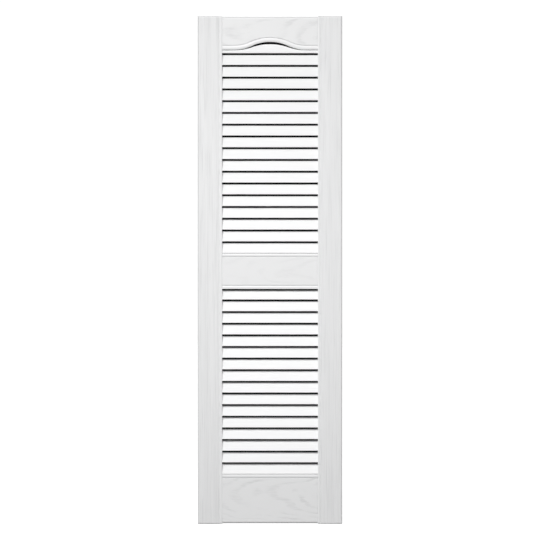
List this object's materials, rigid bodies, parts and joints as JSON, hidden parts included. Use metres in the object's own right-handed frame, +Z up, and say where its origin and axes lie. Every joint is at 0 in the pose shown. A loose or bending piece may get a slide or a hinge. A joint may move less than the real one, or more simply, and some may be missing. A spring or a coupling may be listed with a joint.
{
  "type": "louvred exterior shutter",
  "caption": "Tall white moulded window shutter: two stiles, three rails and fixed sloping louvres in two fields, with an arched top rail and a hollow ribbed back.",
  "frame": {"origin": "middle of the back plane that lies against the wall, on the rear end of the middle rail's centre rib", "axes": "+X to the right seen from the front, +Y into the wall, +Z up along the stiles; the face points along -Y"},
  "size_m": [0.3682, 0.0254, 1.2954],
  "materials": {
    "white_moulding": "satin moulded plastic with an embossed wood grain",
    "white_louvre": "satin moulded plastic with a fine level grain",
    "screw_steel": "plain zinc plated"
  },
  "bodies": {
    "root": {"left_stile": "white_moulding", "right_stile": "white_moulding", "top_rail": "white_moulding", "upper_louvre_panel": "white_louvre", "middle_rail": "white_moulding", "lower_louvre_panel": "white_louvre", "bottom_rail": "white_moulding", "assembly_screws": "screw_steel"}
  },
  "joints": []
}
